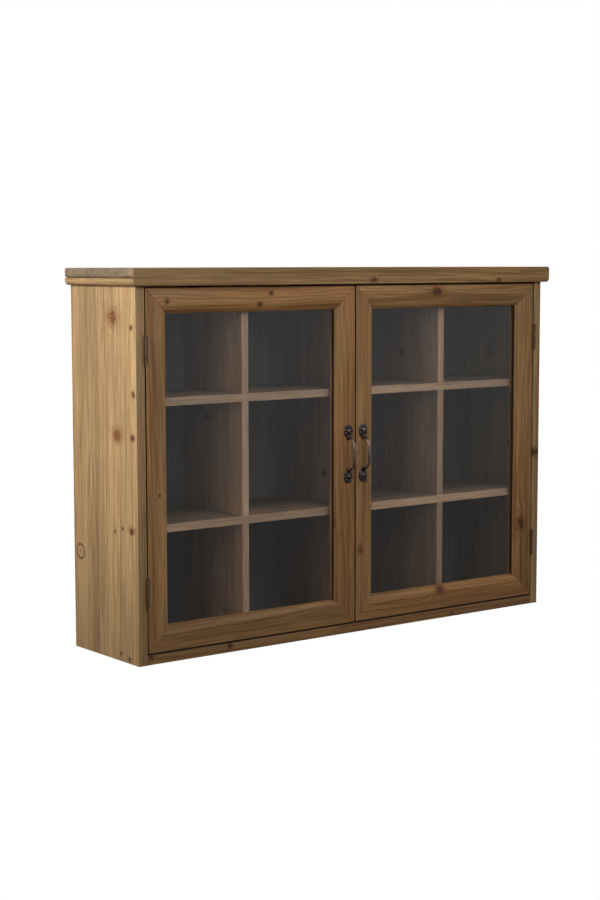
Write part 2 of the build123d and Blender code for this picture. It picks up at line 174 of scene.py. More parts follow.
RING_W = 4.4 * MM       # growth rings; real ones are 2 to 4 mm, drawn at the coarse end so that they show
RING_PROFILE = [(0.0, 0.12), (0.18, 0.0), (0.55, 0.3), (0.86, 1.0), (0.95, 0.75), (1.0, 0.12)]
RINGS_APART = 6.37      # rings between one glued board and the next
DRIFT = 0.035           # how far the tree's axis wanders, in metres
DRIFT_PER_M = (1.6, 7.0, 7.0)
FIBRE_PER_M = 600       # wood fibre, drawn coarser than the real 0.03 mm so that it shows
STREAKS_PER_M = 105
SEED_STEP = 0.37        # metres along the log from one board to the next

JOINT_HALF_W = 0.5 * MM
JOINT_DARKER = 0.25
KNOT_LUMPS_PER_M = 90
KNOT_SPECKS_PER_M = 330
KNOT_RAGGED = 0.9
KNOT_PUSH = 2.6         # rings pushed aside by a knot
KNOT_REACH = 0.22

REVEAL_TONE = 0.06      # painted shade in a step or a joint
GAP_TONE = 0.08
GAP_DEPTH = 2.5 * MM
LINING_TONE = 0.6
DEEPEST_TONE = 0.32     # painted shade at the back of a compartment
DEEP = 150 * MM


def knot_field(tree, coords, knots, grain, through, ragged):
    """Distance to the nearest knot, 1 at its rim. Each knot is (x, y, z, across, along) in millimetres."""
    nearest = None
    for x, y, z, across, along in knots:
        scale = {axis: 1 / (across * MM) for axis in "XYZ"}
        scale[grain] = 1 / (along * MM)
        scale[through] = 0.0
        stretch = Vector((scale["X"], scale["Y"], scale["Z"]))
        centre = Vector((x * MM, y * MM, z * MM)) * stretch
        placed = node(
            tree, "ShaderNodeMapping", {"Vector": coords, "Location": -centre, "Scale": stretch}
        )
        reach = node(tree, "ShaderNodeVectorMath", {0: placed.outputs[0]}, operation="LENGTH")
        distance = reach.outputs["Value"]
        nearest = distance if nearest is None else maths(tree, "MINIMUM", nearest, distance)
    return maths(tree, "ADD", nearest, ragged)


def ringed_knots(tree, colour, near):
    """Knots cut across: a thin dark ring of bark round plain wood."""
    outside = fade(tree, near, 1.0, 1.3, 1.0, 0.0)
    rim = maths(tree, "MULTIPLY", fade(tree, near, 0.72, 0.98), outside)
    heart = fade(tree, near, 0.1, 0.5, 0.5, 0.0)
    return mix(tree, maths(tree, "MAXIMUM", rim, heart), colour, linear(BARK))


def live_knots(tree, colour, height, near, speck):
    """Knots still grown into the wood: amber, with dark specks and a soft halo."""
    stained = mix(tree, fade(tree, near, 1.0, 2.3, 0.5, 0.0), colour, linear(AMBER_HALO), "MULTIPLY")
    specks = fade(tree, speck, 0.49, 0.55)
    heartwood = mix(tree, 1.0, colour, linear(AMBER_CORE), "MULTIPLY")
    core = mix(tree, specks, heartwood, linear(PITCH_SPECK))
    pits = maths(tree, "MULTIPLY", fade(tree, near, 0.7, 1.1, 1.0, 0.0), specks)
    colour = mix(tree, fade(tree, near, 0.7, 1.1, 0.9, 0.0), stained, core)
    return colour, maths(tree, "SUBTRACT", height, pits)


def dead_knots(tree, colour, height, near, speck):
    """Small loose knots: nearly black, sunk a little, with a thin brown halo."""
    stained = mix(tree, fade(tree, near, 0.9, 2.8, 0.8, 0.0), colour, linear(BROWN_HALO), "MULTIPLY")
    dark, light = (linear(tone) for tone in LOOSE_KNOT)
    core = mix(tree, fade(tree, speck, 0.4, 0.6), dark, light)
    colour = mix(tree, fade(tree, near, 0.7, 1.05, 1.0, 0.0), stained, core)
    return colour, maths(tree, "SUBTRACT", height, fade(tree, near, 0.6, 1.0, 0.8, 0.0))


def glued_boards(tree, coords, planks, tone):
    """The number and the tone of the glued board at each place, with a dark line at each joint."""
    axis, joints, tones = planks
    place = node(tree, "ShaderNodeSeparateXYZ", {0: coords}).outputs[axis]
    number, shade = 0.0, tone * tones[0]
    for joint, before, after in zip(joints, tones, tones[1:]):
        past = maths(tree, "GREATER_THAN", place, joint * MM)
        number = maths(tree, "ADD", number, past)
        step = maths(tree, "MULTIPLY", past, tone * (after - before))
        line = maths(tree, "COMPARE", place, joint * MM)
        line.node.inputs[2].default_value = JOINT_HALF_W
        step = maths(tree, "SUBTRACT", step, maths(tree, "MULTIPLY", line, JOINT_DARKER * tone))
        shade = maths(tree, "ADD", shade, step)
    return number, shade


def wandering(tree, laid, slow):
    """Grain coordinates that drift as the axis of a tree does."""
    wander = node(tree, "ShaderNodeTexNoise", {"Vector": slow, "Scale": 1.0, "Detail": 2.0})
    centred = node(
        tree, "ShaderNodeVectorMath", {0: wander.outputs["Color"], 1: (0.5, 0.5, 0.5)},
        operation="SUBTRACT",
    )
    drifted = node(
        tree, "ShaderNodeVectorMath", {0: centred.outputs[0], 1: (0.0, DRIFT, DRIFT), 2: laid},
        operation="MULTIPLY_ADD",
    )
    return drifted.outputs[0]


def late_wood(tree, warped, slow, board_number, near_knots):
    """How much late wood lies at each place, 0 to 1, in rings that knots push aside."""
    across = node(
        tree, "ShaderNodeVectorMath", {0: warped, 1: (0.0, 1.0, 1.0)}, operation="MULTIPLY"
    ).outputs[0]
    radius = node(tree, "ShaderNodeVectorMath", {0: across}, operation="LENGTH").outputs["Value"]
    rings = maths(tree, "DIVIDE", radius, RING_W)
    if board_number is not None:
        rings = maths(tree, "ADD", rings, maths(tree, "MULTIPLY", board_number, RINGS_APART))
    if near_knots is not None:
        squared = maths(tree, "MULTIPLY", near_knots, near_knots)
        swell = maths(tree, "EXPONENT", maths(tree, "MULTIPLY", squared, -KNOT_REACH))
        rings = maths(tree, "ADD", rings, maths(tree, "MULTIPLY", swell, KNOT_PUSH))
    late = ramp(tree, maths(tree, "FRACT", rings), RING_PROFILE)
    patches = fade(tree, noise(tree, slow, 2.3, 3.0), 0.38, 0.62, 0.1, 1.0)
    return maths(tree, "MULTIPLY", late, patches)


def past_plane(tree, split, axis, limit, sign):
    """Distance past a plane at a limit in millimetres, on the side that the sign gives."""
    return maths(tree, "MULTIPLY", maths(tree, "SUBTRACT", split[axis], limit * MM), sign)


def shaded(tree, shade, split, reveal, inside, lining, gaps):
    """Paint light and shade into the tone: glass steps, joints, carcass faces, compartment depths."""
    # painted shade: the step down to the glass is painted nearly black
    if reveal is not None:
        inner, sign = reveal
        edge = fade(tree, past_plane(tree, split, "X", inner, sign), -0.8 * MM, -0.2 * MM)
        start = fade(tree, split["Y"], REVEAL_Y, REVEAL_Y + 0.8 * MM)
        end = fade(tree, split["Y"], GLASS_Y, GLASS_Y + 0.6 * MM, 1.0, 0.0)
        shade_mask = maths(tree, "MULTIPLY", edge, maths(tree, "MULTIPLY", start, end))
        shade = maths(tree, "MULTIPLY", shade, fade(tree, shade_mask, 0.0, 1.0, 1.0, REVEAL_TONE))
    # painted shade, deepening from the front edge to the back of a compartment
    deep_shade = fade(tree, split["Y"], SHELF_FRONT, SHELF_FRONT + DEEP, 1.0, DEEPEST_TONE)
    # a tone painted just behind a front edge: painted shade, or painted light where it is over 1
    if inside is not None:
        behind_edge_shade = fade(tree, split["Y"], SHELF_FRONT, SHELF_FRONT + 2.0 * MM, 1.0, inside)
        shade = maths(tree, "MULTIPLY", shade, maths(tree, "MULTIPLY", behind_edge_shade, deep_shade))
    # painted shade on the faces within the carcass, deepening to the back
    if lining is not None:
        limit, sign = lining
        faced = fade(tree, past_plane(tree, split, "X", limit, sign), -0.4 * MM, -0.1 * MM)
        lining_shade_tone = maths(tree, "MULTIPLY", deep_shade, LINING_TONE)
        lining_shade = node(tree, "ShaderNodeMapRange", {0: faced, 1: 0.0, 2: 1.0, 3: 1.0, 4: lining_shade_tone})
        shade = maths(tree, "MULTIPLY", shade, lining_shade.outputs[0])
    # painted shade on the faces in the joints round a door and under it
    for axis, limit, sign in gaps:
        edge = fade(tree, past_plane(tree, split, axis, limit, sign), -0.9 * MM, 0.1 * MM)
        shallow = fade(tree, split["Y"], FRONT_Y + GAP_DEPTH, FRONT_Y + 2 * GAP_DEPTH, 1.0, 0.0)
        shade_mask = maths(tree, "MULTIPLY", edge, shallow)
        shade = maths(tree, "MULTIPLY", shade, fade(tree, shade_mask, 0.0, 1.0, 1.0, GAP_TONE))
    return shade


def pine(
    name, grain, through, pith, palette, seed, live=(), dead=(), ringed=(), planks=None, reveal=None,
    tone=1.0, gaps=(), inside=None, lining=None, flat=1.0,
):
    """Knotty pine, planed, stained and waxed: soft satin sheen, long streaks, warm late wood.

    The rings are cylinders round the pith, a line along the grain at the place given in millimetres.
    through is the axis that a knot runs along. planks is (axis, joints, tones) of edge-glued boards.
    reveal is the (x, sign) of a stile's inner edge, where the step down to the glass is painted nearly
    black as painted shade. gaps are the (axis, limit, sign) planes past which a face lies in a joint and is
    painted dark as painted shade. inside is the tone painted behind the front edge of a shelf or divider:
    painted shade, or painted light where it is over 1. lining is the (x, sign) plane past which a face lies
    within the carcass and is painted darker as painted shade; both also paint shade deepening to the back.
    flat, under 1, broadens the streaks of a board sawn flat.
    """
    material, tree, shader, _ = blank_material(name)
    coords = node(tree, "ShaderNodeTexCoord").outputs["Object"]
    turn = Euler(GRAIN_TURN[grain])
    shift = -(turn.to_matrix() @ (Vector(pith) * MM)) + Vector((SEED_STEP * seed, 0, 0))
    laid = node(
        tree, "ShaderNodeMapping", {"Vector": coords, "Location": shift, "Rotation": turn}
    ).outputs[0]
    slow = stretched(tree, laid, DRIFT_PER_M)
    warped = wandering(tree, laid, slow)

    board_number, board_tone = glued_boards(tree, coords, planks, tone) if planks else (None, tone)
    speck = noise(tree, coords, KNOT_SPECKS_PER_M, 3.0)
    lumps = noise(tree, coords, KNOT_LUMPS_PER_M, 2.0)
    ragged = maths(tree, "MULTIPLY", maths(tree, "SUBTRACT", lumps, 0.5), KNOT_RAGGED)
    knots = [*live, *dead, *ringed]
    near_knots = knot_field(tree, coords, knots, grain, through, ragged) if knots else None
    late = late_wood(tree, warped, slow, board_number, near_knots)

    # long streaks and fine fibre
    streak_at = stretched(tree, warped, (1.2, STREAKS_PER_M * flat, STREAKS_PER_M))
    streak = noise(tree, streak_at, 1.0, 5.0, 0.7)
    broad = noise(tree, stretched(tree, laid, (1.4, 16.0, 16.0)), 1.0, 2.0)
    fibre = noise(tree, stretched(tree, laid, (14.0, FIBRE_PER_M * flat, FIBRE_PER_M)), 1.0, 2.0)

    *tones, ring_strength, broad_low, fibre_low = FINISHES[palette]
    early, ring, band = [linear(colour) for colour in tones]
    colour = mix(tree, maths(tree, "MULTIPLY", late, ring_strength), early, ring)
    colour = mix(tree, fade(tree, streak, 0.46, 0.64, 0.0, 0.8), colour, band)
    shade = fade(tree, broad, 0.32, 0.68, broad_low, 1.16)
    shade = maths(tree, "MULTIPLY", shade, fade(tree, fibre, 0.35, 0.65, fibre_low, 1.13))
    if palette == "door":
        # the wax has brought up redder patches
        warm = noise(tree, stretched(tree, laid, (1.1, 24.0, 24.0)), 1.0, 3.0)
        colour = mix(tree, fade(tree, warm, 0.45, 0.62, 0.0, 0.4), colour, linear(WARM_WAX), "MULTIPLY")
        shade = maths(tree, "MULTIPLY", shade, 1.05)

    height = maths(tree, "ADD", maths(tree, "MULTIPLY", late, 0.5), maths(tree, "MULTIPLY", fibre, 0.7))
    if ringed:
        smoother = maths(tree, "MULTIPLY", ragged, 0.4)
        colour = ringed_knots(tree, colour, knot_field(tree, coords, ringed, grain, through, smoother))
    if live:
        near = knot_field(tree, coords, live, grain, through, ragged)
        colour, height = live_knots(tree, colour, height, near, speck)
    if dead:
        near = knot_field(tree, coords, dead, grain, through, ragged)
        colour, height = dead_knots(tree, colour, height, near, speck)

    split = node(tree, "ShaderNodeSeparateXYZ", {0: coords}).outputs
    shade = shaded(tree, shade, split, reveal, inside, lining, gaps)
    shade = maths(tree, "MULTIPLY", shade, board_tone)
    grey = node(tree, "ShaderNodeCombineColor", {0: shade, 1: shade, 2: shade}).outputs[0]
    colour = mix(tree, 1.0, colour, grey, "MULTIPLY")
    set_surface(tree, shader, colour, fade(tree, streak, 0.3, 0.7, 0.5, 0.64), height, 0.35, 0.25 * MM)
    shader.inputs["IOR"].default_value = WAX_IOR
    return material


# ---------------------------------------------------------------- glass, metals and plastic
def float_glass():
    """Soda-lime float glass, 3 mm: clear, with the faint grey of dust and a sharp reflection."""
    material, tree, shader, output = blank_material("float_glass")
    shader.inputs["Base Color"].default_value = linear("#F4F7F5")
    shader.inputs["Roughness"].default_value = 0.0
    shader.inputs["IOR"].default_value = 1.5
    shader.inputs["Transmission Weight"].default_value = 1.0
    # lamp light passes straight through to what stands behind the pane
    lamps = node(tree, "ShaderNodeLightPath").outputs["Is Shadow Ray"]
    through = node(tree, "ShaderNodeBsdfTransparent", {"Color": linear("#DDE0DE")})
    both = node(tree, "ShaderNodeMixShader", {0: lamps, 1: shader.outputs[0], 2: through.outputs[0]})
    tree.links.new(both.outputs[0], output.inputs["Surface"])
    return material


def cast_bronze():
    """Sand-cast bronzed iron: nearly black in the hollows, rubbed brown by hands, grip partly painted
    highlight.
    """
    material, tree, shader, _ = blank_material("bronzed_cast_iron")
    coords = node(tree, "ShaderNodeTexCoord").outputs["Object"]
    grit = noise(tree, coords, 1400.0, 3.0)
    patch = noise(tree, coords, 160.0, 3.0)
    raised = node(tree, "ShaderNodeNewGeometry").outputs["Pointiness"]
    uneven = maths(tree, "ADD", raised, maths(tree, "MULTIPLY", patch, 0.08))
    depth = node(tree, "ShaderNodeSeparateXYZ", {0: coords}).outputs["Y"]
    # the outer part of the grip is painted lighter: partly wear from hands, partly a painted highlight
    grip_wear_and_sheen = fade(tree, depth, FRONT_Y - 17 * MM, FRONT_Y - 8 * MM, 0.55, 0.0)
    rub_and_sheen = maths(tree, "MAXIMUM", fade(tree, uneven, 0.55, 0.61), grip_wear_and_sheen)
    base = mix(tree, fade(tree, patch, 0.35, 0.65), linear("#2B2526"), linear("#4C4245"))
    colour = mix(tree, rub_and_sheen, base, linear("#8F7A6C"))
    set_surface(tree, shader, colour, fade(tree, patch, 0.3, 0.7, 0.22, 0.38), grit, 0.3, 0.15 * MM)
    shader.inputs["Metallic"].default_value = 0.85
    return material


def worn_metal(name, dark, light, roughness, metallic, grit_per_m):
    """Sheet or turned metal with a thin finish: slight mottling and a soft, uneven gloss."""
    material, tree, shader, _ = blank_material(name)
    coords = node(tree, "ShaderNodeTexCoord").outputs["Object"]
    patch = noise(tree, coords, 220.0, 4.0)
    grit = noise(tree, coords, grit_per_m, 2.0)
    colour = mix(tree, fade(tree, patch, 0.35, 0.65), linear(dark), linear(light))
    gloss = fade(tree, grit, 0.3, 0.7, roughness - 0.08, roughness + 0.1)
    set_surface(tree, shader, colour, gloss, grit, 0.2, 0.08 * MM)
    shader.inputs["Metallic"].default_value = metallic
    return material


def moulded_plastic():
    """Injection-moulded brown ABS of the catch bodies: even colour, fine spark-eroded texture."""
    material, tree, shader, _ = blank_material("brown_abs")
    coords = node(tree, "ShaderNodeTexCoord").outputs["Object"]
    grain = noise(tree, coords, 2600.0, 1.0)
    flow = noise(tree, coords, 60.0, 1.0)
    colour = mix(tree, fade(tree, flow, 0.3, 0.7), linear("#4A2F1E"), linear("#563824"))
    set_surface(tree, shader, colour, fade(tree, grain, 0.3, 0.7, 0.42, 0.55), grain, 0.25, 0.05 * MM)
    shader.inputs["IOR"].default_value = 1.53
    return material


# ---------------------------------------------------------------- pieces
def settle(mesh, name, material, replaced):
    """Make a finished mesh a piece that stands for its CAD node."""
    piece = bpy.data.objects.new(name, mesh)
    bpy.context.scene.collection.objects.link(piece)
    mesh.materials.clear()
    mesh.materials.append(material)
    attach(piece, BODY_OF[replaced])
    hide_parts(replaced)
    return piece


def on_bench(mesh):
    """A passing object on which a mesh is worked."""
    work = bpy.data.objects.new("work", mesh)
    bpy.context.scene.collection.objects.link(work)
    return work


def off_bench(work):
    """The worked mesh with its modifiers applied; the passing object goes."""
    graph = bpy.context.evaluated_depsgraph_get()
    mesh = bpy.data.meshes.new_from_object(work.evaluated_get(graph))
    bpy.data.objects.remove(work)
    return mesh


WELD = 2e-6                         # metres between points that are one
FLAT_WITHIN = math.radians(0.5)     # between faces that are one
BEVEL_FROM = math.radians(50)       # edges turned further than this are rounded
SHARP_FROM = math.radians(32)       # edges turned further than this stay sharp in the shading
BEVEL_STEPS = 3


def softened(source, material, edge):
    """A copy of a CAD node with its sharp edges rounded by the width given."""
    bm = bmesh.new()
    bm.from_mesh(frame["nodes"][source].data)
    bmesh.ops.remove_doubles(bm, verts=bm.verts, dist=WELD)
    bmesh.ops.dissolve_limit(bm, angle_limit=FLAT_WITHIN, verts=bm.verts, edges=bm.edges)
    mesh = bpy.data.meshes.new(source + "_finished")
    bm.to_mesh(mesh)
    bm.free()
    work = on_bench(mesh)
    bevel = work.modifiers.new("eased edges", "BEVEL")
    bevel.width = edge
    bevel.segments = BEVEL_STEPS
    bevel.limit_method = "ANGLE"
    bevel.angle_limit = BEVEL_FROM
    bevel.use_clamp_overlap = True
    bevel.miter_outer = "MITER_ARC"
    weigh = work.modifiers.new("flat faces", "WEIGHTED_NORMAL")
    weigh.keep_sharp = True
    for face in mesh.polygons:
        face.use_smooth = True
    mesh.set_sharp_from_angle(angle=SHARP_FROM)
    return settle(off_bench(work), source + "_finished", material, source)


MEMBER_W = 45           # width of a stile or rail, in millimetres
BOARD_EDGE = 0.9 * MM
SIDE_EDGE = 2.4 * MM
SHELF_EDGE = 0.6 * MM
TRIM_EDGE = 0.35 * MM

REVEAL_Y = FRONT_Y + 8.2 * MM
GLASS_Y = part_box("left_glass")[0][1]
SHELF_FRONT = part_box("shelf_left_lower")[0][1] + 0.5 * MM

# grain, face normal, pith in millimetres, palette, seed, then knots and glued boards
boards = {
    "side_left": dict(
        # painted shade on the face within the carcass
        lining=(-470, 1),
        grain="Z", through="X", pith=(-420, -20, 0), palette="side", seed=1,
        live=[
            (-488, -33, 612, 14, 13), (-488, -45, 405, 13, 11), (-488, -97, 404, 6, 4),
            (-488, -92, 240, 8, 5), (-488, -99, 481, 4, 4),
        ],
        dead=[
            (-488, -94, 595, 3.2, 3.2), (-488, -101, 478, 2.6, 3), (-488, -96, 402, 3.4, 3),
            (-488, -89, 236, 3, 3), (-488, -79, 8, 3.5, 3), (-488, -50, 14, 2.2, 2.2),
            (-488, -34, 232, 1.8, 2), (-488, -60, 240, 2, 2.4),
        ],
        ringed=[(-488, 88, 181, 13, 13)],
        planks=("Y", (-37, 23, 83), (1.0, 1.02, 0.84, 1.0)),
    ),
    "side_right": dict(
        # painted shade on the face within the carcass
        lining=(470, -1),
        grain="Z", through="X", pith=(425, 40, 0), palette="side", seed=2,
        live=[(488, 20, 520, 12, 13), (488, 55, 150, 10, 10)],
        dead=[(488, -107, 317, 5, 6), (488, -40, 330, 4, 4)],
        planks=("Y", (-40, 35), (1.0, 0.9, 1.04)),
    ),
    "bottom_board": dict(
        grain="X", through="Y", pith=(0, 30, -55), palette="door", seed=3,
        dead=[(-463, -110, 14, 3, 4), (-293, -110, 12, 3, 4), (250, -110, 6, 2, 3)],
        # painted shade on the top behind the doors' bottom gap
        gaps=[("Z", 17.5, 1)],
    ),
    "top_board": dict(
        grain="X", through="Z", pith=(0, 10, 600), palette="cap_top", seed=4,
        live=[(-260, 30, 698, 14, 16), (210, -40, 698, 11, 13)],
        dead=[(330, 60, 698, 6, 6), (-20, -70, 698, 5, 5)],
        planks=("Y", (-38, 34), (1.0, 0.93, 1.05)), tone=0.8, flat=0.2,
    ),
    "cap_fascia": dict(
        grain="X", through="Y", pith=(0, -60, 640), palette="cap", seed=5,
        dead=[(34, -123, 674, 3, 6), (358, -123, 672, 3, 5)],
    ),
    "cap_strip_left": dict(grain="Y", through="X", pith=(-440, 0, 690), palette="side", seed=6, tone=0.82),
    "cap_strip_right": dict(grain="Y", through="X", pith=(440, 0, 690), palette="side", seed=7, tone=0.82),
    "left_hinge_stile": dict(
        grain="Z", through="Y", pith=(-430, -60, 0), palette="door", seed=8, tone=1.1,
        dead=[(-442, -110, 300, 1.5, 2)],
    ),
    "left_meeting_stile": dict(
        grain="Z", through="Y", pith=(-40, -50, 0), palette="door", seed=9,
        live=[(-52, -107, 214, 6, 10)], dead=[(-51, -107, 215, 2.6, 5)], tone=0.86,
    ),
    "left_top_rail": dict(
        grain="X", through="Y", pith=(0, -45, 690), palette="door", seed=10, tone=0.92,
        dead=[(-423, -110, 640, 3, 3.5), (-198, -110, 652, 3, 4), (-223, -110, 632, 3, 4)],
    ),
    "left_bottom_rail": dict(grain="X", through="Y", pith=(0, -55, 5), palette="door", seed=11, tone=0.92),
    "right_hinge_stile": dict(
        grain="Z", through="Y", pith=(470, -50, 0), palette="door", seed=12, tone=0.92,
        live=[(439, -110, 172, 9, 11)], dead=[(442, -110, 169, 3, 5), (437, -110, 178, 2.4, 2.6)],
    ),
    "right_meeting_stile": dict(
        grain="Z", through="Y", pith=(60, -60, 0), palette="door", seed=13, tone=0.93,
        live=[(13, -110, 160, 5, 8), (26, -110, 292, 4, 4)],
    ),
    "right_top_rail": dict(
        grain="X", through="Y", pith=(0, -40, 600), palette="door", seed=14,
        live=[(205, -110, 651, 9, 14)], dead=[(206, -110, 650, 3.4, 5.5)],
    ),
    "right_bottom_rail": dict(
        grain="X", through="Y", pith=(0, -60, 70), palette="door", seed=15,
        live=[(220, -110, 58, 9, 12)], dead=[(221, -110, 58, 3, 4)],
    ),
    "back_panel": dict(
        grain="Z", through="Y", pith=(120, 60, 0), palette="sheet", seed=16,
        live=[(-300, 110, 420, 14, 15), (385, 110, 400, 11, 14)],
        dead=[(40, 110, 560, 5, 6)],
        # plank tones: partly board-to-board tone, partly painted light on the left and painted shade on the
        # right
        planks=("X", (-319, -159, 1, 161, 321), (1.16, 1.08, 1.14, 0.88, 0.84, 0.8)),
    ),
    "wall_rail": dict(grain="X", through="Y", pith=(0, 60, 640), palette="inner", seed=17),
    "centre_divider": dict(
        grain="Z", through="X", pith=(30, 60, 0), palette="inner", seed=18, dead=[(0, -20, 300, 5, 5)],
        # painted shade on the faces behind the front edge
        inside=0.9,
    ),
}
seed = 19
for side, sign in (("left", -1), ("right", 1)):
    for level, knot_x in (("lower", 120), ("upper", 330)):
        # the tops behind the front edge are painted darker as painted shade, the right-hand ones more
        boards[f"shelf_{side}_{level}"] = dict(
            grain="X", through="Z", pith=(0, 40, 150 if level == "lower" else 380),
            palette="inner", seed=seed, live=[(sign * knot_x, -30, 240, 8, 10)],
            inside=0.5 if side == "right" else 0.58,
        )
        seed += 1
    for level in ("lower", "middle", "upper"):
        # the left-hand dividers are painted lighter than the right-hand ones: painted light and shade
        boards[f"divider_{side}_{level}"] = dict(
            grain="Z", through="X", pith=(sign * 200, -60 + 5 * seed, 0), palette="inner", seed=seed,
            dead=[(sign * 239, 30, 90 + 15 * seed, 5, 5)], tone=1.0 if side == "right" else 1.07,
            inside=0.95 if side == "right" else 1.6,
        )
        seed += 1
    boards[f"{side}_glazing_beads"] = dict(
        grain="Z", through="Y", pith=(sign * 100, -40, 0), palette="door", seed=seed,
    )
    seed += 1


def mark_door_joints(side, sign):
    """Note where the glass step of a door and its joints with the case lie on its four members."""
    low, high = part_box(f"{side}_hinge_stile")
    outer = (low if sign < 0 else high)[0] / MM
    low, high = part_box(f"{side}_meeting_stile")
    inner = (high if sign < 0 else low)[0] / MM
    # the step down to the glass and the joints round each door get painted shade
    boards[f"{side}_hinge_stile"]["reveal"] = (outer - sign * MEMBER_W, -sign)
    boards[f"{side}_meeting_stile"]["reveal"] = (inner + sign * MEMBER_W, sign)
    joints = [("X", outer, sign), ("X", inner, -sign), ("Z", low[2] / MM, -1), ("Z", high[2] / MM, 1)]
    for member in ("hinge_stile", "meeting_stile", "top_rail", "bottom_rail"):
        boards[f"{side}_{member}"]["gaps"] = joints


mark_door_joints("left", -1)
mark_door_joints("right", 1)

EDGE_OF = {
    "side": SIDE_EDGE, "shelf": SHELF_EDGE, "divider": SHELF_EDGE, "centre": SHELF_EDGE, "back": TRIM_EDGE,
}
for name, recipe in boards.items():
    edge = EDGE_OF.get(name.split("_")[0], TRIM_EDGE if "beads" in name else BOARD_EDGE)
    softened(name, pine("pine_" + name, **recipe), edge)

glass = float_glass()
iron = cast_bronze()
hinge_bronze = worn_metal("bronzed_steel", "#46382C", "#7A6049", 0.42, 0.7, 1800.0)
zinc = worn_metal("zinc_plated_steel", "#9A9C9E", "#B7B9BA", 0.36, 1.0, 2200.0)
abs_brown = moulded_plastic()


def dress(source, material):
    """Give a CAD node that shows as it is its finish."""
    mesh = frame["nodes"][source].data
    mesh.materials.clear()
    mesh.materials.append(material)


for side in ("left", "right"):
    dress(f"{side}_glass", glass)
    dress(f"{side}_hinge_pins", hinge_bronze)
    for level in ("lower", "upper"):
        dress(f"{side}_frame_leaf_{level}", hinge_bronze)
        dress(f"{side}_door_leaf_{level}", hinge_bronze)
    softened(f"{side}_catch", abs_brown, 0.5 * MM)
    softened(f"{side}_strike", zinc, 0.15 * MM)
    dress(f"{side}_catch_poles", zinc)


# ---------------------------------------------------------------- pulls
PLATE_HALF_W = 10.2 * MM
PLATE_HALF_H = 13.3 * MM
PLATE_POINTS = 108          # round its edge
PLATE_STEPS = (0.12, 0.24, 0.36, 0.46, 0.5, 0.56, 0.66, 0.76, 0.86, 0.94, 1.0)
PETALS = 9
SCALLOP = 0.12              # share of the reach cut away between two petals
SCALLOP_POWER = 0.6
EDGE_RISE = 1.4 * MM
CROWN_RISE = 1.5 * MM
CROWN_SHARE = 0.92
DOME_RISE = 2.4 * MM
DOME_SHARE = 0.5            # share of the plate that the dome takes up
FLUTE_RISE = 1.1 * MM

BOW_HALF_H = 31.0 * MM
BOW_DEPTH = 20.6 * MM
BOW_FOOT = 1 * MM
BOW_POWER = 2 / 2.7         # squares the arch
BOW_STEPS = 64
BOW_SIDES = 20
BOW_R = 2.2 * MM
GRIP_WIDER = 1.1 * MM
GRIP_THINNER = 0.4 * MM
LEAST = 1e-3                # keeps the slope finite at the ends of the arch

BALL_R = 3.9 * MM
BALL_OUT = 3.2 * MM
BALL_INSET = 0.5 * MM
BALL_FLAT = 0.9

PULL_HEAD_R = 3.2 * MM
VOXEL = 0.42 * MM


def close_skin(bm, rings):
    """Join closed rings of points into a skin of quads, with a face over each end."""
    for low, high in zip(rings, rings[1:]):
        for i in range(len(low)):
            j = (i + 1) % len(low)
            bm.faces.new((low[i], low[j], high[j], high[i]))
    bm.faces.new(rings[0])
    bm.faces.new(rings[-1])


def plate_point(centre, outward_end, rho, angle):
    """A point of the plate's face: rho is 0 in the middle and 1 at the edge."""
    lobe = abs(math.cos(PETALS / 2 * (angle - outward_end * math.pi / 2)))
    reach = rho * (1 - SCALLOP + SCALLOP * lobe ** SCALLOP_POWER)
    dome = DOME_RISE * math.sqrt(max(0.0, 1 - (rho / DOME_SHARE) ** 2))
    crown = CROWN_RISE * math.sqrt(max(0.0, 1 - (CROWN_SHARE * rho) ** 2))
    outer = min(1.0, max(0.0, (rho - DOME_SHARE) / (1 - DOME_SHARE)))
    flute = FLUTE_RISE * lobe * math.sin(math.pi * outer)
    return (
        centre.x + PLATE_HALF_W * reach * math.cos(angle),
        centre.y - EDGE_RISE - crown - dome - flute,
        centre.z + PLATE_HALF_H * reach * math.sin(angle),
    )


def shell_plate(bm, centre, outward_end):
    """A scallop-edged plate with fluted petals round a raised dome."""
    turns = [2 * math.pi * i / PLATE_POINTS for i in range(PLATE_POINTS)]
    rings = []
    for rho in PLATE_STEPS:
        rings.append([bm.verts.new(plate_point(centre, outward_end, rho, angle)) for angle in turns])
    rings.append([bm.verts.new((vert.co.x, centre.y, vert.co.z)) for vert in rings[-1]])
    close_skin(bm, rings)


def ball(bm, centre, radius, flat):
    """A ball, flattened from front to back."""
    made = bmesh.ops.create_icosphere(bm, subdivisions=4, radius=radius)
    bmesh.ops.scale(bm, verts=made["verts"], vec=(1, flat, 1))
    bmesh.ops.translate(bm, verts=made["verts"], vec=centre)


def bow(bm, centre):
    """The arched grip, broad and flat in the middle and waisted near its feet."""
    rings = []
    side = Vector((1, 0, 0))
    for step in range(BOW_STEPS + 1):
        angle = math.pi * step / BOW_STEPS
        c, s = math.cos(angle), math.sin(angle)
        z = BOW_HALF_H * math.copysign(abs(c) ** BOW_POWER, c)
        out = (BOW_DEPTH - BOW_FOOT) * abs(s) ** BOW_POWER + BOW_FOOT
        dz = -BOW_HALF_H * BOW_POWER * max(abs(c), LEAST) ** (BOW_POWER - 1) * s
        dout = BOW_DEPTH * BOW_POWER * max(abs(s), LEAST) ** (BOW_POWER - 1) * c
        normal = Vector((0, -dout, dz)).normalized().cross(side).normalized()
        grip = s ** 4
        half_w = side * (BOW_R + GRIP_WIDER * grip)
        half_t = normal * (BOW_R - GRIP_THINNER * grip)
        middle = Vector((centre.x, centre.y - out, centre.z + z))
        turns = [2 * math.pi * i / BOW_SIDES for i in range(BOW_SIDES)]
        rings.append([bm.verts.new(middle + half_w * math.cos(t) + half_t * math.sin(t)) for t in turns])
    close_skin(bm, rings)


